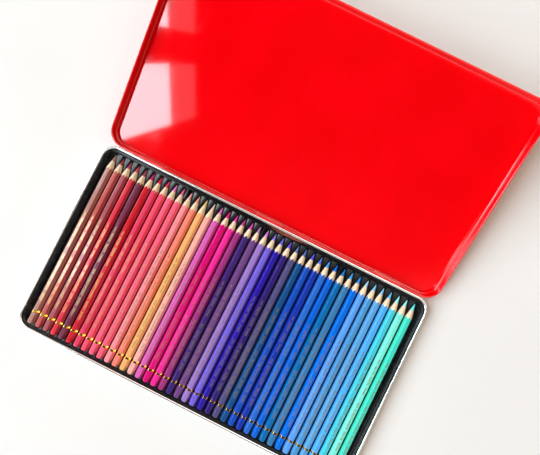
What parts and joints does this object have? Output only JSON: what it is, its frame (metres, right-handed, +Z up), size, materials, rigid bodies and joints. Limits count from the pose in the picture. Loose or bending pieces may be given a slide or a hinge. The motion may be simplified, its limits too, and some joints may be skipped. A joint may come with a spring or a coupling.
{
  "type": "pencil tin",
  "caption": "Flat hinged metal tin lying open, with a formed plastic tray that holds a row of sharpened coloured pencils in grooves.",
  "frame": {"origin": "centre of the base tin's underside", "axes": "+X along the tin's length, +Y from the dipped pencil ends towards the hinge and the open lid, +Z up"},
  "size_m": [0.3382, 0.3729, 0.0551],
  "materials": {
    "tinplate": "bright, lightly brushed tinplate",
    "red_lacquer": "glossy lacquer over tinplate",
    "black_plastic": "satin formed sheet",
    "pencil_01_lacquer": "glossy coloured lacquer over pale wood",
    "pencil_02_lacquer": "glossy coloured lacquer over pale wood",
    "pencil_03_lacquer": "glossy coloured lacquer over pale wood",
    "pencil_04_lacquer": "glossy coloured lacquer over pale wood",
    "pencil_05_lacquer": "glossy coloured lacquer over pale wood",
    "pencil_06_lacquer": "glossy coloured lacquer over pale wood",
    "pencil_07_lacquer": "glossy coloured lacquer over pale wood",
    "pencil_08_lacquer": "glossy coloured lacquer over pale wood",
    "pencil_09_lacquer": "glossy coloured lacquer over pale wood",
    "pencil_10_lacquer": "glossy coloured lacquer over pale wood",
    "pencil_11_lacquer": "glossy coloured lacquer over pale wood",
    "pencil_12_lacquer": "glossy coloured lacquer over pale wood",
    "pencil_13_lacquer": "glossy coloured lacquer over pale wood",
    "pencil_14_lacquer": "glossy coloured lacquer over pale wood",
    "pencil_15_lacquer": "glossy coloured lacquer over pale wood",
    "pencil_16_lacquer": "glossy coloured lacquer over pale wood",
    "pencil_17_lacquer": "glossy coloured lacquer over pale wood",
    "pencil_18_lacquer": "glossy coloured lacquer over pale wood",
    "pencil_19_lacquer": "glossy coloured lacquer over pale wood",
    "pencil_20_lacquer": "glossy coloured lacquer over pale wood",
    "pencil_21_lacquer": "glossy coloured lacquer over pale wood",
    "pencil_22_lacquer": "glossy coloured lacquer over pale wood",
    "pencil_23_lacquer": "glossy coloured lacquer over pale wood",
    "pencil_24_lacquer": "glossy coloured lacquer over pale wood",
    "pencil_25_lacquer": "glossy coloured lacquer over pale wood",
    "pencil_26_lacquer": "glossy coloured lacquer over pale wood",
    "pencil_27_lacquer": "glossy coloured lacquer over pale wood",
    "pencil_28_lacquer": "glossy coloured lacquer over pale wood",
    "pencil_29_lacquer": "glossy coloured lacquer over pale wood",
    "pencil_30_lacquer": "glossy coloured lacquer over pale wood",
    "pencil_31_lacquer": "glossy coloured lacquer over pale wood",
    "pencil_32_lacquer": "glossy coloured lacquer over pale wood",
    "pencil_33_lacquer": "glossy coloured lacquer over pale wood",
    "pencil_34_lacquer": "glossy coloured lacquer over pale wood",
    "pencil_35_lacquer": "glossy coloured lacquer over pale wood",
    "pencil_36_lacquer": "glossy coloured lacquer over pale wood",
    "pencil_37_lacquer": "glossy coloured lacquer over pale wood",
    "pencil_38_lacquer": "glossy coloured lacquer over pale wood",
    "pencil_39_lacquer": "glossy coloured lacquer over pale wood",
    "pencil_40_lacquer": "glossy coloured lacquer over pale wood"
  },
  "bodies": {
    "base": {"base_tin": "tinplate", "hinge_lug_left": "red_lacquer", "hinge_lug_middle": "red_lacquer", "hinge_lug_right": "red_lacquer"},
    "lid": {"lid_tin": "red_lacquer"},
    "tray": {"pencil_tray": "black_plastic"},
    "pencil_01": {"pencil_01": "pencil_01_lacquer"},
    "pencil_02": {"pencil_02": "pencil_02_lacquer"},
    "pencil_03": {"pencil_03": "pencil_03_lacquer"},
    "pencil_04": {"pencil_04": "pencil_04_lacquer"},
    "pencil_05": {"pencil_05": "pencil_05_lacquer"},
    "pencil_06": {"pencil_06": "pencil_06_lacquer"},
    "pencil_07": {"pencil_07": "pencil_07_lacquer"},
    "pencil_08": {"pencil_08": "pencil_08_lacquer"},
    "pencil_09": {"pencil_09": "pencil_09_lacquer"},
    "pencil_10": {"pencil_10": "pencil_10_lacquer"},
    "pencil_11": {"pencil_11": "pencil_11_lacquer"},
    "pencil_12": {"pencil_12": "pencil_12_lacquer"},
    "pencil_13": {"pencil_13": "pencil_13_lacquer"},
    "pencil_14": {"pencil_14": "pencil_14_lacquer"},
    "pencil_15": {"pencil_15": "pencil_15_lacquer"},
    "pencil_16": {"pencil_16": "pencil_16_lacquer"},
    "pencil_17": {"pencil_17": "pencil_17_lacquer"},
    "pencil_18": {"pencil_18": "pencil_18_lacquer"},
    "pencil_19": {"pencil_19": "pencil_19_lacquer"},
    "pencil_20": {"pencil_20": "pencil_20_lacquer"},
    "pencil_21": {"pencil_21": "pencil_21_lacquer"},
    "pencil_22": {"pencil_22": "pencil_22_lacquer"},
    "pencil_23": {"pencil_23": "pencil_23_lacquer"},
    "pencil_24": {"pencil_24": "pencil_24_lacquer"},
    "pencil_25": {"pencil_25": "pencil_25_lacquer"},
    "pencil_26": {"pencil_26": "pencil_26_lacquer"},
    "pencil_27": {"pencil_27": "pencil_27_lacquer"},
    "pencil_28": {"pencil_28": "pencil_28_lacquer"},
    "pencil_29": {"pencil_29": "pencil_29_lacquer"},
    "pencil_30": {"pencil_30": "pencil_30_lacquer"},
    "pencil_31": {"pencil_31": "pencil_31_lacquer"},
    "pencil_32": {"pencil_32": "pencil_32_lacquer"},
    "pencil_33": {"pencil_33": "pencil_33_lacquer"},
    "pencil_34": {"pencil_34": "pencil_34_lacquer"},
    "pencil_35": {"pencil_35": "pencil_35_lacquer"},
    "pencil_36": {"pencil_36": "pencil_36_lacquer"},
    "pencil_37": {"pencil_37": "pencil_37_lacquer"},
    "pencil_38": {"pencil_38": "pencil_38_lacquer"},
    "pencil_39": {"pencil_39": "pencil_39_lacquer"},
    "pencil_40": {"pencil_40": "pencil_40_lacquer"}
  },
  "joints": [
    {"name": "lid_hinge", "type": "hinge", "parent": "base", "child": "lid", "pos_m": [0, 0.09465, 0.00847], "axis": [-1, 0, 0], "range_deg": [-166, 0]},
    {"name": "tray_lift", "type": "slide", "parent": "base", "child": "tray", "axis": [0, 0, 1], "range_m": [0, 0.03]},
    {"name": "pencil_01_lift", "type": "slide", "parent": "tray", "child": "pencil_01", "axis": [0, 0, 1], "range_m": [0, 0.025]},
    {"name": "pencil_02_lift", "type": "slide", "parent": "tray", "child": "pencil_02", "axis": [0, 0, 1], "range_m": [0, 0.025]},
    {"name": "pencil_03_lift", "type": "slide", "parent": "tray", "child": "pencil_03", "axis": [0, 0, 1], "range_m": [0, 0.025]},
    {"name": "pencil_04_lift", "type": "slide", "parent": "tray", "child": "pencil_04", "axis": [0, 0, 1], "range_m": [0, 0.025]},
    {"name": "pencil_05_lift", "type": "slide", "parent": "tray", "child": "pencil_05", "axis": [0, 0, 1], "range_m": [0, 0.025]},
    {"name": "pencil_06_lift", "type": "slide", "parent": "tray", "child": "pencil_06", "axis": [0, 0, 1], "range_m": [0, 0.025]},
    {"name": "pencil_07_lift", "type": "slide", "parent": "tray", "child": "pencil_07", "axis": [0, 0, 1], "range_m": [0, 0.025]},
    {"name": "pencil_08_lift", "type": "slide", "parent": "tray", "child": "pencil_08", "axis": [0, 0, 1], "range_m": [0, 0.025]},
    {"name": "pencil_09_lift", "type": "slide", "parent": "tray", "child": "pencil_09", "axis": [0, 0, 1], "range_m": [0, 0.025]},
    {"name": "pencil_10_lift", "type": "slide", "parent": "tray", "child": "pencil_10", "axis": [0, 0, 1], "range_m": [0, 0.025]},
    {"name": "pencil_11_lift", "type": "slide", "parent": "tray", "child": "pencil_11", "axis": [0, 0, 1], "range_m": [0, 0.025]},
    {"name": "pencil_12_lift", "type": "slide", "parent": "tray", "child": "pencil_12", "axis": [0, 0, 1], "range_m": [0, 0.025]},
    {"name": "pencil_13_lift", "type": "slide", "parent": "tray", "child": "pencil_13", "axis": [0, 0, 1], "range_m": [0, 0.025]},
    {"name": "pencil_14_lift", "type": "slide", "parent": "tray", "child": "pencil_14", "axis": [0, 0, 1], "range_m": [0, 0.025]},
    {"name": "pencil_15_lift", "type": "slide", "parent": "tray", "child": "pencil_15", "axis": [0, 0, 1], "range_m": [0, 0.025]},
    {"name": "pencil_16_lift", "type": "slide", "parent": "tray", "child": "pencil_16", "axis": [0, 0, 1], "range_m": [0, 0.025]},
    {"name": "pencil_17_lift", "type": "slide", "parent": "tray", "child": "pencil_17", "axis": [0, 0, 1], "range_m": [0, 0.025]},
    {"name": "pencil_18_lift", "type": "slide", "parent": "tray", "child": "pencil_18", "axis": [0, 0, 1], "range_m": [0, 0.025]},
    {"name": "pencil_19_lift", "type": "slide", "parent": "tray", "child": "pencil_19", "axis": [0, 0, 1], "range_m": [0, 0.025]},
    {"name": "pencil_20_lift", "type": "slide", "parent": "tray", "child": "pencil_20", "axis": [0, 0, 1], "range_m": [0, 0.025]},
    {"name": "pencil_21_lift", "type": "slide", "parent": "tray", "child": "pencil_21", "axis": [0, 0, 1], "range_m": [0, 0.025]},
    {"name": "pencil_22_lift", "type": "slide", "parent": "tray", "child": "pencil_22", "axis": [0, 0, 1], "range_m": [0, 0.025]},
    {"name": "pencil_23_lift", "type": "slide", "parent": "tray", "child": "pencil_23", "axis": [0, 0, 1], "range_m": [0, 0.025]},
    {"name": "pencil_24_lift", "type": "slide", "parent": "tray", "child": "pencil_24", "axis": [0, 0, 1], "range_m": [0, 0.025]},
    {"name": "pencil_25_lift", "type": "slide", "parent": "tray", "child": "pencil_25", "axis": [0, 0, 1], "range_m": [0, 0.025]},
    {"name": "pencil_26_lift", "type": "slide", "parent": "tray", "child": "pencil_26", "axis": [0, 0, 1], "range_m": [0, 0.025]},
    {"name": "pencil_27_lift", "type": "slide", "parent": "tray", "child": "pencil_27", "axis": [0, 0, 1], "range_m": [0, 0.025]},
    {"name": "pencil_28_lift", "type": "slide", "parent": "tray", "child": "pencil_28", "axis": [0, 0, 1], "range_m": [0, 0.025]},
    {"name": "pencil_29_lift", "type": "slide", "parent": "tray", "child": "pencil_29", "axis": [0, 0, 1], "range_m": [0, 0.025]},
    {"name": "pencil_30_lift", "type": "slide", "parent": "tray", "child": "pencil_30", "axis": [0, 0, 1], "range_m": [0, 0.025]},
    {"name": "pencil_31_lift", "type": "slide", "parent": "tray", "child": "pencil_31", "axis": [0, 0, 1], "range_m": [0, 0.025]},
    {"name": "pencil_32_lift", "type": "slide", "parent": "tray", "child": "pencil_32", "axis": [0, 0, 1], "range_m": [0, 0.025]},
    {"name": "pencil_33_lift", "type": "slide", "parent": "tray", "child": "pencil_33", "axis": [0, 0, 1], "range_m": [0, 0.025]},
    {"name": "pencil_34_lift", "type": "slide", "parent": "tray", "child": "pencil_34", "axis": [0, 0, 1], "range_m": [0, 0.025]},
    {"name": "pencil_35_lift", "type": "slide", "parent": "tray", "child": "pencil_35", "axis": [0, 0, 1], "range_m": [0, 0.025]},
    {"name": "pencil_36_lift", "type": "slide", "parent": "tray", "child": "pencil_36", "axis": [0, 0, 1], "range_m": [0, 0.025]},
    {"name": "pencil_37_lift", "type": "slide", "parent": "tray", "child": "pencil_37", "axis": [0, 0, 1], "range_m": [0, 0.025]},
    {"name": "pencil_38_lift", "type": "slide", "parent": "tray", "child": "pencil_38", "axis": [0, 0, 1], "range_m": [0, 0.025]},
    {"name": "pencil_39_lift", "type": "slide", "parent": "tray", "child": "pencil_39", "axis": [0, 0, 1], "range_m": [0, 0.025]},
    {"name": "pencil_40_lift", "type": "slide", "parent": "tray", "child": "pencil_40", "axis": [0, 0, 1], "range_m": [0, 0.025]}
  ]
}
